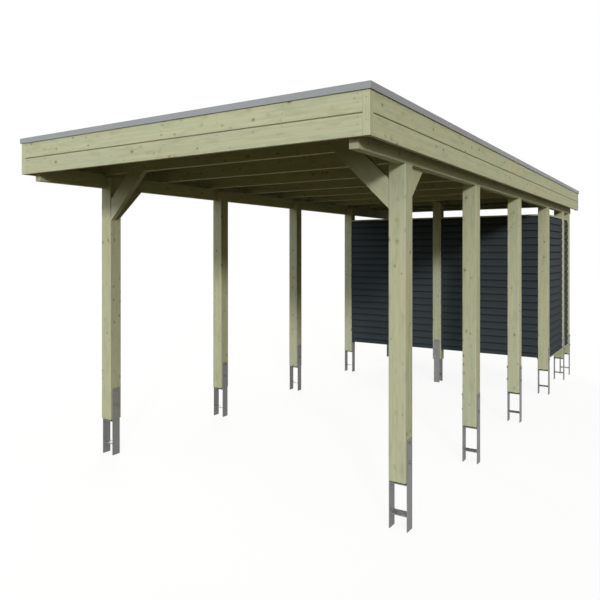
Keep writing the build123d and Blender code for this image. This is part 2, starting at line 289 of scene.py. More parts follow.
def wear_group():
    """Uneven wear and dirt: a patchy mask for arrises, a broad stain and fine specks."""
    tree, given, result = node_group("ShaderNodeTree", "wear and dirt", [
        ("Position", "Vector"),
        ("Arris", "Float", 0.0),
        ("Patch Size", "Float", 0.03),
    ], [("Worn", "Float"), ("Stain", "Float"), ("Speck", "Float")])
    place = given["Position"]
    patches = noise(tree, place, calc(tree, "DIVIDE", 1.0, given["Patch Size"]), 4.0, 0.65)
    fill_all(tree, result,
             Worn=times(tree, span(tree, patches, 0.42, 0.6), given["Arris"]),
             Stain=span(tree, noise(tree, place, 1.7, 4.0, 0.6), 0.4, 0.75),
             Speck=span(tree, noise(tree, place, 260.0, 2.0, 0.6), 0.6, 0.75))
    return tree


def spangle_group():
    """Zinc crystals of hot-dip galvanising."""
    tree, given, result = node_group("ShaderNodeTree", "zinc spangle", [
        ("Position", "Vector"),
        ("Crystal", "Float", 0.008),
    ], [("Crystal", "Float"), ("Cloud", "Float")])
    place = given["Position"]
    uneven = stretch(tree, noise(tree, place, 120.0, 1.0, output="Color"), 0.004, 0.004, 0.004)
    per_crystal = calc(tree, "DIVIDE", 1.0, given["Crystal"])
    _, lot = cells(tree, vector_calc(tree, "ADD", place, uneven), per_crystal)
    fill_all(tree, result, Crystal=lot[0], Cloud=noise(tree, place, 9.0, 3.0))
    return tree


KNOTS = knots_group()
FIGURE = figure_group()
WEAR = wear_group()
SPANGLE = spangle_group()


# Materials. Colours are linear.

def material(name):
    made = bpy.data.materials.new(name)
    made.use_nodes = True
    tree = made.node_tree
    return made, tree, tree.nodes["Principled BSDF"]


def finish_surface(tree, shader, colour, roughness, height, depth):
    """Colour, roughness and bump on the material's shader."""
    bump = put(tree, "ShaderNodeBump", Strength=1.0, Distance=depth, Height=height)
    fill_all(tree, shader, Base_Color=colour, Roughness=roughness, Normal=bump.outputs["Normal"])


def grain_relief(tree, figure, fibre, late_wood):
    """Height of the grain, from its fibres and its late wood."""
    fibres = times(tree, figure["Fibre"], fibre)
    return calc(tree, "ADD", fibres, times(tree, figure["Late Wood"], late_wood))


def treated_timber():
    """Pale green pressure-treated softwood: rings, fibres, small knots, tone by board, and
    painted shade in the grooves between fascia boards.
    """
    made, tree, shader = material("treated softwood")
    green, straw = (0.428, 0.452, 0.344, 1), (0.460, 0.453, 0.320, 1)
    blotch = (0.320, 0.360, 0.235, 1)
    late_wood = (0.330, 0.300, 0.165, 1)
    knot_rim = (0.250, 0.245, 0.125, 1)
    knot_dark, knot_light = (0.078, 0.073, 0.036, 1), (0.150, 0.143, 0.076, 1)
    rubbed = (0.540, 0.540, 0.400, 1)
    # painted shade for the slanted faces of the fascia boards' V-groove
    groove_painted_shade = (0.110, 0.105, 0.050, 1)
    stained = (0.330, 0.350, 0.220, 1)
    place = attribute(tree, "grain", "Vector")
    knots = use(tree, KNOTS, Position=place, Cell=0.050, Largest=0.0098, Share=0.70)
    figure = use(tree, FIGURE, Position=place, Ring_Width=0.0065, Swerve=knots["Swerve"])
    wear = use(tree, WEAR, Position=place, Arris=attribute(tree, "arris"), Patch_Size=0.04)
    colour = mix(tree, span(tree, figure["Tone"], 0.35, 0.65), green, straw)
    colour = mix(tree, span(tree, figure["Blotch"], 0.50, 0.68, 0.0, 0.55), colour, blotch)
    colour = tint(tree, colour, figure["Late Wood"], 0.36, late_wood)
    shade = span(tree, figure["Fibre"], 0.25, 0.75, 0.92, 1.07)
    shade = times(tree, shade, span(tree, figure["Streak"], 0.3, 0.7, 0.93, 1.07))
    shade = times(tree, shade, span(tree, attribute(tree, "board"), 0.0, 1.0, 0.94, 1.05))
    shade = times(tree, shade, span(tree, attribute(tree, "end"), 0.0, 1.0, 1.0, 0.82))
    grey = put(tree, "ShaderNodeCombineColor", Red=shade, Green=shade, Blue=shade).outputs[0]
    colour = mix(tree, 1.0, colour, grey, "MULTIPLY")
    colour = tint(tree, colour, knots["Halo"], 0.38, knot_rim)
    core = mix(tree, span(tree, knots["Rings"], 0.0, KNOT_RING), knot_dark, knot_light)
    colour = tint(tree, colour, knots["Knot"], 0.74, core)
    colour = tint(tree, colour, wear["Worn"], 0.25, rubbed)
    # painted shade in the V-groove between fascia boards
    colour = tint(tree, colour, attribute(tree, "groove"), 0.55, groove_painted_shade)
    colour = tint(tree, colour, wear["Stain"], 0.10, stained)
    rough = span(tree, figure["Late Wood"], 0.0, 1.0, 0.78, 0.62)
    finish_surface(tree, shader, colour, rough, grain_relief(tree, figure, 0.55, 0.45), 0.0006)
    shader.inputs["Specular IOR Level"].default_value = 0.25
    return made


def dark_boards():
    """Anthracite paint on softwood boards: matt, with the grain showing through, and painted
    shade in the grooves between boards.
    """
    made, tree, shader = material("anthracite painted boards")
    deep, light = (0.041, 0.052, 0.065, 1), (0.051, 0.063, 0.078, 1)
    late_wood = (0.016, 0.019, 0.021, 1)
    stained = (0.032, 0.034, 0.034, 1)
    rubbed = (0.060, 0.064, 0.064, 1)
    # painted shade colour for the board grooves, deepest in the cove
    groove_painted_shade = (0.007, 0.008, 0.009, 1)
    place = attribute(tree, "grain", "Vector")
    figure = use(tree, FIGURE, Position=place, Ring_Width=0.007)
    wear = use(tree, WEAR, Position=place, Arris=attribute(tree, "arris"), Patch_Size=0.05)
    colour = mix(tree, attribute(tree, "board"), deep, light)
    colour = tint(tree, colour, figure["Late Wood"], 0.35, late_wood)
    colour = tint(tree, colour, wear["Stain"], 0.20, stained)
    colour = tint(tree, colour, wear["Worn"], 0.40, rubbed)
    # painted shade in the grooves, darker with depth
    colour = tint(tree, colour, attribute(tree, "groove"), 0.75, groove_painted_shade)
    rough = span(tree, figure["Tone"], 0.3, 0.7, 0.64, 0.74)
    finish_surface(tree, shader, colour, rough, grain_relief(tree, figure, 0.35, 0.65), 0.0004)
    shader.inputs["Specular IOR Level"].default_value = 0.02
    return made


def metal(name, patch_size):
    """Material with its wear read from the object's own position."""
    made, tree, shader = material(name)
    place = put(tree, "ShaderNodeTexCoord").outputs["Object"]
    return made, tree, shader, place, use(tree, WEAR, Position=place, Patch_Size=patch_size)


def galvanised_steel():
    """Hot-dip galvanised plate with crystals, clouds and a little dirt."""
    made, tree, shader, place, wear = metal("galvanised steel", 0.05)
    dark_crystal, light_crystal = (0.196, 0.196, 0.210, 1), (0.250, 0.250, 0.266, 1)
    clouded = (0.178, 0.179, 0.180, 1)
    dirt = (0.130, 0.122, 0.105, 1)
    zinc = use(tree, SPANGLE, Position=place, Crystal=0.009)
    colour = mix(tree, zinc["Crystal"], dark_crystal, light_crystal)
    colour = mix(tree, span(tree, zinc["Cloud"], 0.35, 0.7, 0.0, 0.5), colour, clouded)
    colour = tint(tree, colour, wear["Speck"], 0.25, dirt)
    rough = span(tree, zinc["Crystal"], 0.0, 1.0, 0.46, 0.62)
    finish_surface(tree, shader, colour, rough, zinc["Cloud"], 0.0004)
    shader.inputs["Metallic"].default_value = 0.2
    return made


def bright_zinc():
    """Zinc-plated bolts, nuts and roof screws."""
    made, tree, shader, _, wear = metal("zinc plated steel", 0.012)
    clean, stained = (0.190, 0.192, 0.186, 1), (0.130, 0.128, 0.112, 1)
    colour = tint(tree, clean, wear["Stain"], 0.5, stained)
    rough = span(tree, wear["Speck"], 0.0, 1.0, 0.45, 0.62)
    finish_surface(tree, shader, colour, rough, wear["Speck"], 0.0001)
    shader.inputs["Metallic"].default_value = 0.3
    return made


def recess_painted_shade():
    """Painted shade for the drive recess in a screw head: a flat dark finish in place of the
    hollow's shadow.
    """
    made, tree, shader, _, wear = metal("screw recess", 0.004)
    # painted shade of the recess, a little lighter where stained
    clean, stained = (0.050, 0.050, 0.050, 1), (0.080, 0.078, 0.072, 1)
    fill(tree, shader.inputs["Base Color"], mix(tree, wear["Stain"], clean, stained))
    shader.inputs["Roughness"].default_value = 0.6
    return made


def coated_sheet(name, deep, light, cloud_size, smooth_to_rough, gloss):
    """Factory-coated steel sheet: fine texture, faint clouds, light dirt."""
    made, tree, shader, place, wear = metal(name, cloud_size)
    dirt = (0.260, 0.255, 0.235, 1)
    colour = mix(tree, noise(tree, place, 1 / cloud_size, 3.0), deep, light)
    colour = tint(tree, colour, wear["Stain"], 0.25, dirt)
    rough = span(tree, wear["Stain"], 0.0, 1.0, *smooth_to_rough)
    fine_texture = noise(tree, place, 700.0, 1.0)
    finish_surface(tree, shader, colour, rough, fine_texture, 0.00008)
    shader.inputs["Specular IOR Level"].default_value = gloss
    return made


TIMBER = treated_timber()
DARK_BOARDS = dark_boards()
GALVANISED = galvanised_steel()
ZINC = bright_zinc()
RECESS_PAINTED_SHADE = recess_painted_shade()
TRIM = coated_sheet(
    "edge trim coat", (0.278, 0.292, 0.340, 1), (0.310, 0.324, 0.374, 1),
    cloud_size=0.3, smooth_to_rough=(0.46, 0.60), gloss=0.12)
ROOF = coated_sheet(
    "roof sheet coat", (0.085, 0.090, 0.094, 1), (0.105, 0.110, 0.114, 1),
    cloud_size=0.5, smooth_to_rough=(0.62, 0.75), gloss=0.02)


# Pieces

def put_finish(mesh, finish):
    """Makes the finish the mesh's only material."""
    mesh.materials.clear()
    mesh.materials.append(finish)


def piece(name, mesh, finish, slot, *stands_for):
    """Object for a finished mesh, riding on the one body."""
    if finish:
        put_finish(mesh, finish)
    made = bpy.data.objects.new(name, mesh)
    bpy.context.scene.collection.objects.link(made)
    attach(made, "root")
    if stands_for:
        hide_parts(*stands_for)
    return made


def mesh_from(bm, name):
    """Turns the bmesh into a mesh and frees it."""
    mesh = bpy.data.meshes.new(name)
    bm.to_mesh(mesh)
    bm.free()
    return mesh


def evaluated_mesh(made):
    """The object's mesh with its modifiers applied."""
    bpy.context.view_layer.update()
    evaluated = made.evaluated_get(bpy.context.evaluated_depsgraph_get())
    return bpy.data.meshes.new_from_object(evaluated)


def welded_copy(node, keep=None):
    """The node's solids as a closed mesh with flat faces; keep picks the faces of one solid."""
    bm = bmesh.new()
    bm.from_mesh(nodes[node].data)
    if keep:
        unwanted = [f for f in bm.faces if not keep(f)]
        bmesh.ops.delete(bm, geom=unwanted, context="FACES")
    bmesh.ops.remove_doubles(bm, verts=bm.verts, dist=1e-5)
    flat = math.radians(0.5)
    bmesh.ops.dissolve_limit(bm, angle_limit=flat, verts=bm.verts, edges=bm.edges)
    return bm


def round_arrises(bm, width):
    """Rounds every sharp edge, and marks the rounding for wear."""
    arris = bm.faces.layers.float.new("arris_face")
    sharp_from = math.radians(25)
    sharp = [e for e in bm.edges if e.is_manifold and e.calc_face_angle(0) > sharp_from]
    made = bmesh.ops.bevel(bm, geom=sharp, offset=width, segments=2, profile=0.5,
                           affect="EDGES", clamp_overlap=True)
    for face in made["faces"]:
        face[arris] = 1.0
    for face in bm.faces:
        face.smooth = True


def corners_of(vertices):
    """The lowest and highest corner of the box round some vertices."""
    low = Vector([min(v.co[i] for v in vertices) for i in range(3)])
    high = Vector([max(v.co[i] for v in vertices) for i in range(3)])
    return low, high


def islands(bm):
    """The separate solids of a mesh, as lists of vertices."""
    left = set(bm.verts)
    found = []
    while left:
        start = left.pop()
        island, edge_of = [start], [start]
        while edge_of:
            here = edge_of.pop()
            for edge in here.link_edges:
                there = edge.other_vert(here)
                if there in left:
                    left.remove(there)
                    island.append(there)
                    edge_of.append(there)
        found.append(island)
    found.sort(key=lambda island: tuple(round(c, 4) for c in corners_of(island)[0]))
    return found


def mark_grain(bm, name, along=None):
    """Gives each board its own place in a log: position along the grain and from the pith."""
    grain = bm.verts.layers.float_vector.new("grain")
    board = bm.verts.layers.float.new("board")
    end = bm.faces.layers.float.new("end")
    lot = random.Random(name)
    bm.normal_update()
    for island in islands(bm):
        low, high = corners_of(island)
        size = high - low
        if along:
            axis = Vector(along).normalized()
        else:
            axis = Vector([1.0 if size[i] == max(size) else 0.0 for i in range(3)])
        across = axis.orthogonal().normalized()
        third = axis.cross(across)
        turn = lot.uniform(0, 2 * math.pi)
        pith = lot.uniform(0.035, 0.110)
        shift = Vector((lot.uniform(-40, 40), pith * math.cos(turn), pith * math.sin(turn)))
        tone = lot.random()
        middle = (low + high) / 2
        for v in island:
            place = v.co - middle
            v[grain] = Vector((place.dot(axis), place.dot(across), place.dot(third))) + shift
            v[board] = tone
        for face in {f for v in island for f in v.link_faces}:
            face[end] = 1.0 if abs(face.normal.dot(axis)) > 0.9 else 0.0


def face_values_to_corners(mesh):
    """Copies the marks on the faces to their corners, under the names that the materials read."""
    for face_name, name in (("arris_face", "arris"), ("end", "end"), ("groove", "groove")):
        if face_name not in mesh.attributes:
            continue
        values = [d.value for d in mesh.attributes[face_name].data]
        if face_name == name:
            mesh.attributes.remove(mesh.attributes[face_name])
        corners = mesh.attributes.new(name, "FLOAT", "CORNER")
        for polygon in mesh.polygons:
            for corner in polygon.loop_indices:
                corners.data[corner].value = values[polygon.index]


def soften_normals(made):
    """Flat faces stay flat and only the rounded arrises shade smoothly."""
    weighted = made.modifiers.new("flat faces", "WEIGHTED_NORMAL")
    weighted.keep_sharp = True
    mesh = evaluated_mesh(made)
    mesh.name = made.name
    made.modifiers.clear()
    made.data = mesh


def timber(name, bm, node, arris, along=None):
    """A finished timber piece from a closed mesh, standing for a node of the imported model."""
    round_arrises(bm, arris)
    mark_grain(bm, name, along)
    mesh = mesh_from(bm, name)
    face_values_to_corners(mesh)
    soften_normals(piece(name, mesh, TIMBER, "timber", node))


def bar(bm, low, high):
    """Adds a plain bar between two corners."""
    size = Vector(high) - Vector(low)
    middle = (Vector(high) + Vector(low)) / 2
    place = Matrix.Translation(middle) @ Matrix.Diagonal((*size, 1.0))
    bmesh.ops.create_cube(bm, size=1.0, matrix=place)


# Posts, beams, braces and fascia boards

for label in SIDE_POSTS + MIDDLE_POSTS:
    node = "post_" + label
    timber(label + "_post", welded_copy(node), node, POST_ARRIS)

for side, inward in (("left", 1), ("right", -1)):
    for node, along in (
            ("purlin_" + side, None),
            ("cross_brace_" + side, (inward, 0, 1)),
            ("side_brace_" + side, (0, 1, 1))):
        timber(node + "_timber", welded_copy(node), node, BEAM_ARRIS, along)

timber("rafter_timbers", welded_copy("rafters"), "rafters", BEAM_ARRIS)
timber("post_head_trimmer_timbers", welded_copy("post_head_trimmers"), "post_head_trimmers",
       BEAM_ARRIS)
timber("corner_batten_timbers", welded_copy("corner_battens"), "corner_battens", FASCIA_ARRIS)

# The rear has only the upper board, so its foot is the joint between the two boards elsewhere
fascia_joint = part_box("fascia_rear")[0].z


def is_upper(face):
    """True on the faces of the upper fascia board."""
    height = face.calc_center_median().z - fascia_joint
    return height > 1e-5 or (abs(height) <= 1e-5 and face.normal.z < 0)


for side in ("front", "left", "right"):
    node = "fascia_" + side
    both = bmesh.new()
    for keep in (is_upper, lambda face: not is_upper(face)):
        both.from_mesh(mesh_from(welded_copy(node, keep), "one"))
    # the slanted faces of the V-groove between the boards are marked for painted shade
    groove = both.faces.layers.float.new("groove")
    for face in both.faces:
        slanted = 0.3 < abs(face.normal.z) < 0.95
        face[groove] = 1.0 if slanted else 0.0
    timber(node + "_boards", both, node, FASCIA_ARRIS)
timber("fascia_rear_board", welded_copy("fascia_rear"), "fascia_rear", FASCIA_ARRIS)

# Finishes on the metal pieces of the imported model

for label in SIDE_POSTS + MIDDLE_POSTS:
    put_finish(nodes["anchor_" + label].data, GALVANISED)
put_finish(nodes["roof_edge_trim"].data, TRIM)
put_finish(nodes["roof_sheet"].data, ROOF)


# Geometry Nodes: what repeats

def run_tree(tree, mesh, values):
    """The mesh that a geometry tree makes of another one, with inputs given by name."""
    made = bpy.data.objects.new("working", mesh)
    bpy.context.scene.collection.objects.link(made)
    modifier = made.modifiers.new("tree", "NODES")
    modifier.node_group = tree
    ids = {
        item.name: item.identifier for item in tree.interface.items_tree
        if item.item_type == "SOCKET" and item.in_out == "INPUT"
    }
    for name, value in values.items():
        modifier[ids[name]] = value
    result = evaluated_mesh(made)
    bpy.data.objects.remove(made)
    return result


def named(tree, name, data_type):
    """Reads a named attribute."""
    settings = {"data_type": data_type}
    return put(tree, "GeometryNodeInputNamedAttribute", settings, Name=name).outputs[0]


def store(tree, geometry, name, data_type, domain, value):
    """The geometry with a named attribute added or replaced."""
    settings = {"data_type": data_type, "domain": domain}
    made = put(tree, "GeometryNodeStoreNamedAttribute", settings,
               Geometry=geometry, Name=name, Value=value)
    return made.outputs[0]


def random_number(tree, seed, low=0.0, high=1.0):
    """A random number for each element."""
    made = put(tree, "FunctionNodeRandomValue", {"data_type": "FLOAT"}, Seed=seed)
    made.inputs[2].default_value = low
    made.inputs[3].default_value = high
    return made.outputs[1]


def copies_on(tree, points, part, **inputs):
    """Copies of a part on points, as one real mesh."""
    copies = put(tree, "GeometryNodeInstanceOnPoints", Points=points, Instance=part, **inputs)
    return put(tree, "GeometryNodeRealizeInstances", Geometry=copies.outputs[0]).outputs[0]


def joined(tree, *parts):
    """Several geometries as one."""
    made = tree.nodes.new("GeometryNodeJoinGeometry")
    for part in parts:
        tree.links.new(part, made.inputs[0])
    return made.outputs[0]


def lifted(tree, geometry, height):
    """The geometry moved up by a height that may be a socket."""
    up = combine(tree, Z=height)
    return put(tree, "GeometryNodeTransform", Geometry=geometry, Translation=up).outputs[0]


def cylinder(tree, vertices, radius, length, foot=0.0):
    """Upright cylinder whose underside is at the height of its foot."""
    made = put(tree, "GeometryNodeMeshCylinder", Vertices=vertices, Radius=radius, Depth=length)
    middle = calc(tree, "ADD", times(tree, length, 0.5), foot)
    return lifted(tree, made.outputs[0], middle)


def finished(tree, geometry, finish):
    """The geometry with its material set."""
    made = put(tree, "GeometryNodeSetMaterial", Geometry=geometry, Material=finish)
    return made.outputs[0]


def on_points(tree, points, part, seed):
    """Copies of a part on points, with Z along the stored facing and a random turn about it."""
    facing = named(tree, "facing", "FLOAT_VECTOR")
    aligned = put(tree, "FunctionNodeAlignRotationToVector", {"axis": "Z"}, Vector=facing)
    turn = random_number(tree, seed, 0.0, 2 * math.pi)
    about = put(tree, "FunctionNodeAxisAngleToRotation", Axis=(0, 0, 1), Angle=turn)
    turned = put_in_order(tree, "FunctionNodeRotateRotation", {"rotation_space": "LOCAL"},
                          aligned.outputs[0], about.outputs[0])
    return copies_on(tree, points, part, Rotation=turned.outputs[0])


def board_stack_tree():
    """Stacks a board downwards at a pitch, each copy from its own part of a log."""
    tree, given, result = node_group("GeometryNodeTree", "stacked boards", [
        ("Board", "Geometry"),
        ("Count", "Int", 20),
        ("Pitch", "Float", BOARD_PITCH),
        ("Seed", "Int", 1),
        ("Finish", "Material"),
    ], [("Boards", "Geometry")])
    down = combine(tree, Z=times(tree, given["Pitch"], -1.0))
    places = put(tree, "GeometryNodeMeshLine", {"mode": "OFFSET"},
                 Count=given["Count"], Offset=down)
    copies = put(tree, "GeometryNodeInstanceOnPoints",
                 Points=places.outputs[0], Instance=given["Board"])
    lot = random_number(tree, given["Seed"])
    toned = store(tree, copies.outputs[0], "board", "FLOAT", "INSTANCE", lot)
    solid = put(tree, "GeometryNodeRealizeInstances", Geometry=toned).outputs[0]
    tone = named(tree, "board", "FLOAT")
    # The one random number gives the places along and across the grain, in three ways
    second_lot = calc(tree, "FRACT", times(tree, tone, 7.3))
    shift = combine(tree, X=times(tree, tone, 90.0), Y=times(tree, tone, 0.11),
                    Z=times(tree, second_lot, 0.09))
    own_place = vector_calc(tree, "ADD", named(tree, "grain", "FLOAT_VECTOR"), shift)
    moved = store(tree, solid, "grain", "FLOAT_VECTOR", "POINT", own_place)
    fill(tree, result.inputs[0], finished(tree, moved, given["Finish"]))
    return tree


def hex_fastener_tree():
    """Hexagon head or nut with its washer, and the end of the shank where one comes through."""
    tree, given, result = node_group("GeometryNodeTree", "hexagon fastener", [
        ("Points", "Geometry"),
        ("Across Flats", "Float", BOLT_ACROSS_FLATS),
        ("Head Height", "Float", 0.008),
        ("Washer Radius", "Float", 0.012),
        ("Washer Thickness", "Float", 0.0025),
        ("Shank Radius", "Float", 0.006),
        ("Shank Reach", "Float", 0.0),
        ("Seed", "Int", 1),
        ("Finish", "Material"),
    ], [("Fasteners", "Geometry")])
    radius = calc(tree, "DIVIDE", given["Across Flats"], 2 * math.cos(math.radians(30)))
    washer_top = given["Washer Thickness"]
    straight = times(tree, given["Head Height"], 0.82)
    washer = cylinder(tree, 20, given["Washer Radius"], washer_top)
    head = cylinder(tree, 6, radius, straight, washer_top)
    chamfer = put(tree, "GeometryNodeMeshCone", Vertices=6,
                  Radius_Top=times(tree, radius, 0.84), Radius_Bottom=radius,
                  Depth=calc(tree, "SUBTRACT", given["Head Height"], straight))
    chamfer = lifted(tree, chamfer.outputs[0], calc(tree, "ADD", straight, washer_top))
    head_top = calc(tree, "ADD", given["Head Height"], washer_top)
    shank_top = calc(tree, "ADD", head_top, given["Shank Reach"])
    shank = cylinder(tree, 14, given["Shank Radius"], shank_top)
    comes_through = put(tree, "FunctionNodeCompare",
                        {"data_type": "FLOAT", "operation": "GREATER_THAN"},
                        A=given["Shank Reach"], B=0.0001)
    shank = put(tree, "GeometryNodeSwitch", {"input_type": "GEOMETRY"},
                **{"Switch": comes_through.outputs[0], "True": shank})
    fastener = joined(tree, washer, head, chamfer, shank.outputs[0])
    placed = on_points(tree, given["Points"], fastener, given["Seed"])
    fill(tree, result.inputs[0], finished(tree, placed, given["Finish"]))
    return tree


def screw_tree():
    """Countersunk screw head, a little proud of the timber, with a six-sided recess drawn as a
    thin disc in painted shade.
    """
    tree, given, result = node_group("GeometryNodeTree", "countersunk screw", [
        ("Points", "Geometry"),
        ("Head Radius", "Float", 0.0045),
        ("Proud", "Float", 0.0004),
        ("Seed", "Int", 1),
        ("Finish", "Material"),
        ("Recess", "Material"),
    ], [("Screws", "Geometry")])
    head = put(tree, "GeometryNodeMeshCone", Vertices=16, Depth=given["Proud"],
               Radius_Top=times(tree, given["Head Radius"], 0.9),
               Radius_Bottom=given["Head Radius"])
    head = finished(tree, head.outputs[0], given["Finish"])
    # a thin disc on the head's top, finished in painted shade for the recess
    recess = put(tree, "GeometryNodeMeshCylinder", Vertices=6, Depth=0.0002,
                 Radius=times(tree, given["Head Radius"], 0.45))
    recess = finished(tree, recess.outputs[0], given["Recess"])
    screw = joined(tree, head, lifted(tree, recess, given["Proud"]))
    fill(tree, result.inputs[0], on_points(tree, given["Points"], screw, given["Seed"]))
    return tree


def weld_tree():
    """Rippled bead of small overlapping domes along each edge of the input mesh."""
    tree, given, result = node_group("GeometryNodeTree", "weld bead", [
        ("Lines", "Geometry"),
        ("Ripple", "Float", 0.0035),
        ("Radius", "Float", 0.0032),
        ("Seed", "Int", 1),
        ("Finish", "Material"),
    ], [("Beads", "Geometry")])
    curve = put(tree, "GeometryNodeMeshToCurve", Mesh=given["Lines"]).outputs[0]
    points = put(tree, "GeometryNodeCurveToPoints", {"mode": "LENGTH"},
                 Curve=curve, Length=given["Ripple"]).outputs[0]
    dome = put(tree, "GeometryNodeMeshIcoSphere", Radius=given["Radius"], Subdivisions=1)
    size = random_number(tree, given["Seed"], 0.85, 1.15)
    beads = copies_on(tree, points, dome.outputs[0], Scale=size)
    fill(tree, result.inputs[0], finished(tree, beads, given["Finish"]))
    return tree


STACK = board_stack_tree()
HEX = hex_fastener_tree()
SCREW = screw_tree()
WELD = weld_tree()


def points_mesh(places):
    """Loose points with the way that each one faces."""
    mesh = bpy.data.meshes.new("points")
    mesh.from_pydata([p for p, _ in places], [], [])
    facing = mesh.attributes.new("facing", "FLOAT_VECTOR", "POINT")
    for i, (_, way) in enumerate(places):
        facing.data[i].vector = way
    return mesh


def fasteners(name, tree, places, slot, values):
    """A piece with a fastener at each place."""
    piece(name, run_tree(tree, points_mesh(places), values), None, slot)


# Storage room walls

def board_profile():
    """Outline of a wall board as (y, z), with its face at y = 0 and its top at z = 0."""
    steps = 8
    outline = [(BOARD_THICKNESS, 0.0), (BOARD_COVE, 0.0)]
    radius = (BOARD_COVE ** 2 + BOARD_COVE_HEIGHT ** 2) / (2 * BOARD_COVE)
    for i in range(1, steps + 1):
        z = BOARD_COVE_HEIGHT * (1 - i / steps)
        outline.append((radius - math.sqrt(radius ** 2 - z ** 2), z - BOARD_COVE_HEIGHT))
    outline.append((0.0, -BOARD_PITCH + 2 * BOARD_LIP))
    outline.append((0.3 * BOARD_LIP, -BOARD_PITCH + 1.3 * BOARD_LIP))
    outline.append((BOARD_LIP, -BOARD_PITCH + BOARD_LIP))
    outline += [(BOARD_COVE, -BOARD_PITCH), (BOARD_THICKNESS, -BOARD_PITCH)]
    return outline


def board_mesh(length):
    """One wall board along X, with its grain, and its groove marked for painted shade that
    darkens with depth.
    """
    profile = board_profile()
    bm = bmesh.new()
    ends = []
    for x in (-length / 2, length / 2):
        ends.append([bm.verts.new((x, y, z)) for y, z in profile])
    bm.faces.new(ends[0])
    bm.faces.new(reversed(ends[1]))
    for i in range(len(profile)):
        j = (i + 1) % len(profile)
        bm.faces.new((ends[0][j], ends[0][i], ends[1][i], ends[1][j]))
    bmesh.ops.recalc_face_normals(bm, faces=bm.faces)
    # painted shade: faces set back from the board's face, darker with their depth
    groove = bm.faces.layers.float.new("groove")
    for face in bm.faces:
        depth = face.calc_center_median().y
        on_face = depth < 0.0002
        face[groove] = 0.0 if on_face else min(1.0, (depth / BOARD_COVE) ** 2 + 0.15)
        face.smooth = True
    sharp_from = math.radians(20)
    for edge in bm.edges:
        edge.smooth = edge.calc_face_angle(0) < sharp_from
    mark_grain(bm, "wall board")
    mesh = mesh_from(bm, "board")
    face_values_to_corners(mesh)
    return mesh


def post_middle(label):
    low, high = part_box("post_" + label)
    return (low + high) / 2


PLATE_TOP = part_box("anchor_left_1")[1].z + PLATE_CLEARANCE
PLATE_ROOM = PLATE + PLATE_CLEARANCE


def clear_of_plates(bm, post_face):
    """Shortens what lies beside an anchor plate at the outer ends of a wall along X."""
    for island in islands(bm):
        if min(v.co.z for v in island) < PLATE_TOP - TOUCH:
            for v in island:
                if abs(v.co.x) > post_face - TOUCH:
                    v.co.x -= math.copysign(PLATE_ROOM, v.co.x)


def wall_boards(length, height, seed):
    """Stacked boards along X, cut off level at the wall's foot."""
    count = math.ceil(height / BOARD_PITCH)
    values = {"Count": count, "Pitch": BOARD_PITCH, "Seed": seed, "Finish": DARK_BOARDS}
    boards = bmesh.new()
    boards.from_mesh(run_tree(STACK, board_mesh(length), values))
    everything = boards.verts[:] + boards.edges[:] + boards.faces[:]
    cut = bmesh.ops.bisect_plane(boards, geom=everything, plane_co=(0, 0, -height),
                                 plane_no=(0, 0, -1), clear_outer=True)
    rim = [e for e in cut["geom_cut"] if isinstance(e, bmesh.types.BMEdge)]
    bmesh.ops.holes_fill(boards, edges=rim, sides=0)
    return boards


def wall_rails(length, foot, split, sill):
    """Battens behind the boards' ends, split above the anchor plates, with a rail and a sill."""
    rails = bmesh.new()
    front, inner = BOARD_THICKNESS, BOARD_THICKNESS + WALL_BATTEN
    half = length / 2
    for x in (-half, half - WALL_BATTEN):
        bar(rails, (x, front, foot), (x + WALL_BATTEN, inner, split))
        bar(rails, (x, front, split), (x + WALL_BATTEN, inner, 0))
    bar(rails, (-half, 0, 0), (half, inner, WALL_RAIL_HEIGHT))
    if sill:
        bar(rails, (-half, 0, foot - sill), (half, inner, foot))
    return rails


def make_wall(side, turn, stretches, sill):
    """A whole wall: its stretches between posts, put in place."""
    node = "storage_" + side + "_wall"
    low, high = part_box(node)
    top = high.z - WALL_RAIL_HEIGHT
    height = top - (low.z + sill)
    all_boards, all_rails = bmesh.new(), bmesh.new()
    for seed, (near, far) in enumerate(stretches):
        a, b = post_middle(near), post_middle(far)
        middle = (a + b) / 2
        face = {
            0: (middle.x, low.y),
            180: (middle.x, high.y),
            -90: (low.x, middle.y),
            90: (high.x, middle.y),
        }[turn]
        place = Matrix.Translation((*face, top)) @ Matrix.Rotation(math.radians(turn), 4, "Z")
        length = (b - a).length - POST
        boards = wall_boards(length, height, seed + turn)
        rails = wall_rails(length, -height, PLATE_TOP - top, sill)
        for part, whole in ((boards, all_boards), (rails, all_rails)):
            part.transform(place)
            whole.from_mesh(mesh_from(part, "part"))
    if turn in (0, 180):
        post_face = abs(post_middle("left_4").x) - POST / 2
        clear_of_plates(all_boards, post_face)
        clear_of_plates(all_rails, post_face)
    boards_mesh = mesh_from(all_boards, node)
    piece("storage_" + side + "_boards", boards_mesh, DARK_BOARDS, "wall_boards", node)
    timber("storage_" + side + "_rails", all_rails, node, POST_ARRIS)


make_wall("front", 0, [("left_4", "middle_front"), ("middle_front", "right_4")], 0)
make_wall("rear", 180, [("left_rear", "middle_rear"), ("middle_rear", "right_rear")], 0)
make_wall("left", -90, [("left_4", "left_rear")], SIDE_SILL_HEIGHT)
make_wall("right", 90, [("right_4", "right_5"), ("right_5", "right_rear")], SIDE_SILL_HEIGHT)


# Anchors: bolt heads on the outer plate, nuts on the inner one, and the cross plates' welds

SEAM_HEIGHTS = (
    LOWER_CROSS_PLATE - PLATE / 2,
    LOWER_CROSS_PLATE + PLATE / 2,
    UPPER_CROSS_PLATE - PLATE / 2,
)


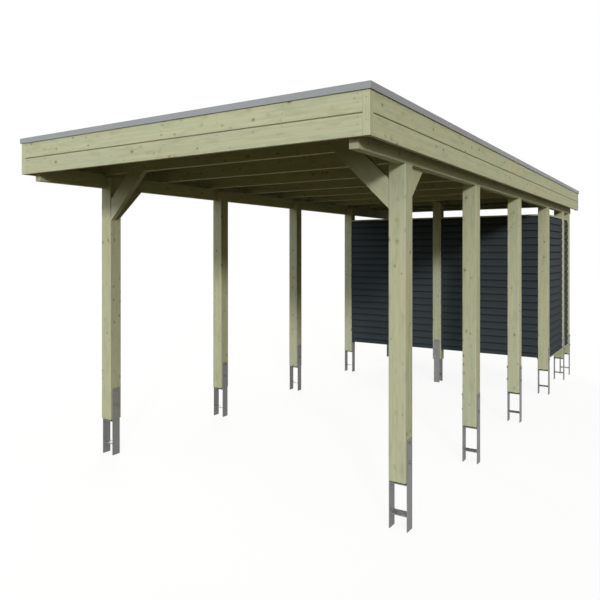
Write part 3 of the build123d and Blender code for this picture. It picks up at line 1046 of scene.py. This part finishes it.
def plate_faces(label):
    """Middle of each plate's outer face at z = 0, with the way it faces; the outer one first."""
    low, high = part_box("anchor_" + label)
    middle = (low + high) / 2
    if label in MIDDLE_POSTS:
        outward = Vector((0, -1 if label == "middle_front" else 1, 0))
        reach = (high.y - low.y) / 2
    else:
        outward = Vector((math.copysign(1, middle.x), 0, 0))
        reach = (high.x - low.x) / 2
    foot = Vector((middle.x, middle.y, 0))
    return [(foot + way * reach, way) for way in (outward, -outward)]


heads, nuts, seam_points = [], [], []
for label in SIDE_POSTS + MIDDLE_POSTS:
    for (face, way), bolt_ends in zip(plate_faces(label), (heads, nuts)):
        for z in BOLT_HEIGHTS:
            bolt_ends.append((face + Vector((0, 0, z)), way))
        along = Vector((-way.y, way.x, 0)) * WELD_HALF_LENGTH
        inside = face - way * PLATE
        for z in SEAM_HEIGHTS:
            middle = inside + Vector((0, 0, z))
            seam_points += [middle - along, middle + along]

fasteners("anchor_bolt_heads", HEX, heads, "galvanised_steel", {
    "Across Flats": BOLT_ACROSS_FLATS, "Head Height": 0.0075, "Seed": 3, "Finish": ZINC})
fasteners("anchor_bolt_nuts", HEX, nuts, "galvanised_steel", {
    "Across Flats": BOLT_ACROSS_FLATS, "Head Height": 0.010, "Shank Reach": 0.004, "Seed": 4,
    "Finish": ZINC})

seams = bpy.data.meshes.new("seams")
seams.from_pydata(seam_points, [(i, i + 1) for i in range(0, len(seam_points), 2)], [])
welds = run_tree(WELD, seams, {"Seed": 5, "Finish": GALVANISED})
piece("anchor_welds", welds, None, "galvanised_steel")


# Screws in the fascia: at the corners, along the front and rear, and at the rafters' ends

front_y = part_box("fascia_front")[0].y
rear_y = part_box("fascia_rear")[1].y
left_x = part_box("fascia_left")[0].x
right_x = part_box("fascia_right")[1].x
upper_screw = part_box("roof_edge_trim")[0].z - SCREW_BELOW_TRIM
lower_screw = fascia_joint - SCREW_BELOW_JOINT
rafters_low, rafters_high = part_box("rafters")
first_rafter = rafters_low.y + RAFTER_WIDTH / 2
rafter_run = rafters_high.y - rafters_low.y - RAFTER_WIDTH
rafter_lines = [first_rafter + i * rafter_run / (RAFTER_COUNT - 1) for i in range(RAFTER_COUNT)]

screws = []
for z in (upper_screw, lower_screw):
    for x in (left_x + CORNER_BATTEN / 2, right_x - CORNER_BATTEN / 2):
        screws.append(((x, front_y, z), (0, -1, 0)))
        screws.append(((x, rear_y, z), (0, 1, 0)))
    for i in range(-3, 4):
        x = i / 3 * (right_x - CORNER_BATTEN - SCREW_BESIDE_BATTEN)
        for dz in (-SCREW_HALF_PAIR, SCREW_HALF_PAIR):
            screws.append(((x, front_y, z + dz), (0, -1, 0)))
            if z == upper_screw:
                screws.append(((x, rear_y, z + dz), (0, 1, 0)))
for y in rafter_lines[1:-1]:
    for x, way in ((left_x, -1), (right_x, 1)):
        for z in (upper_screw - SCREW_HALF_PAIR, upper_screw + SCREW_HALF_PAIR, lower_screw):
            screws.append(((x, y, z), (way, 0, 0)))
fasteners("fascia_screws", SCREW, screws, "galvanised_steel", {
    "Head Radius": 0.0035, "Seed": 6, "Finish": GALVANISED, "Recess": RECESS_PAINTED_SHADE})


# Roof sheet screws, on the rib tops over every rafter

roof_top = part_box("roof_sheet")[1].z
caps = []
for y in rafter_lines:
    for rib in range(RIB_COUNT):
        caps.append((((rib - (RIB_COUNT - 1) / 2) * RIB_PITCH, y, roof_top), (0, 0, 1)))
fasteners("roof_screws", HEX, caps, "roof_sheet", {
    "Across Flats": 0.008, "Head Height": 0.005, "Washer Radius": 0.008,
    "Washer Thickness": 0.002, "Seed": 7, "Finish": ZINC})


# Studio: floor and surroundings that look white, and soft suns from several sides

SKY_LEVEL = 0.27             # fill light from all round
FLOOR_WHITE_SHARE = 0.90     # how much of what the camera sees of the floor is plain white
FLOOR_REACH = 60.0
WHITE = (1.0, 1.0, 1.0, 1)
SKY_LIGHT = (1.0, 0.92, 0.55, 1)
FLOOR_LIGHT = (0.11, 0.09, 0.03, 1)


def seen_directly(tree):
    """1 where the camera sees it, straight or in a reflection."""
    path = put(tree, "ShaderNodeLightPath").outputs
    seen = calc(tree, "MAXIMUM", path["Is Camera Ray"], path["Is Glossy Ray"])
    return calc(tree, "MAXIMUM", seen, path["Is Transmission Ray"])


world = bpy.data.worlds.new("soft surroundings")
world.use_nodes = True
sky = world.node_tree
seen = seen_directly(sky)
fill_all(sky, sky.nodes["Background"],
         Color=mix(sky, seen, SKY_LIGHT, WHITE),
         Strength=span(sky, seen, 0.0, 1.0, SKY_LEVEL, 1.0))
bpy.context.scene.world = world


def soft_sun(name, shines, energy, spread, colour):
    """Broad light that shines along a direction; its spread is in degrees."""
    data = bpy.data.lights.new(name, "SUN")
    data.energy = energy
    data.angle = math.radians(spread)
    data.color = colour
    made = bpy.data.objects.new(name, data)
    made.rotation_euler = Vector(shines).to_track_quat("-Z", "Y").to_euler()
    bpy.context.scene.collection.objects.link(made)


soft_sun("key from the front right", (-0.578, 0.750, -0.29), 2.12, 8, (1.0, 0.985, 0.90))
soft_sun("high light from the right", (-0.50, 0.40, -1.00), 0.9, 60, (0.86, 0.95, 1.0))
soft_sun("low fill from the right", (-1.0, 0.20, -0.08), 0.12, 40, (1.0, 0.95, 0.80))
soft_sun("fill from the front", (0.15, 1.0, -0.20), 0.36, 40, (0.98, 1.0, 0.95))
soft_sun("cool fill from the left", (0.70, 0.70, -0.36), 0.85, 45, (0.82, 0.94, 1.0))
soft_sun("light for the rear", (0.60, -0.70, -0.40), 2.9, 40, (1.0, 1.0, 1.0))

floor_mesh = bpy.data.meshes.new("floor")
floor_corners = [(x * FLOOR_REACH, y * FLOOR_REACH, 0)
                 for x, y in ((-1, -1), (1, -1), (1, 1), (-1, 1))]
floor_mesh.from_pydata(floor_corners, [], [(0, 1, 2, 3)])
floor = bpy.data.objects.new("floor", floor_mesh)
bpy.context.scene.collection.objects.link(floor)
floor_finish, tree, shader = material("pale floor")
seen = seen_directly(tree)
fill_all(tree, shader, Base_Color=mix(tree, seen, FLOOR_LIGHT, WHITE),
         Roughness=1.0, Specular_IOR_Level=0.0)
white = put(tree, "ShaderNodeEmission", Color=WHITE, Strength=1.0)
both = put_in_order(tree, "ShaderNodeMixShader", None, times(tree, seen, FLOOR_WHITE_SHARE),
                    shader.outputs[0], white.outputs[0])
fill(tree, tree.nodes["Material Output"].inputs["Surface"], both.outputs[0])
put_finish(floor_mesh, floor_finish)

bpy.context.view_layer.update()
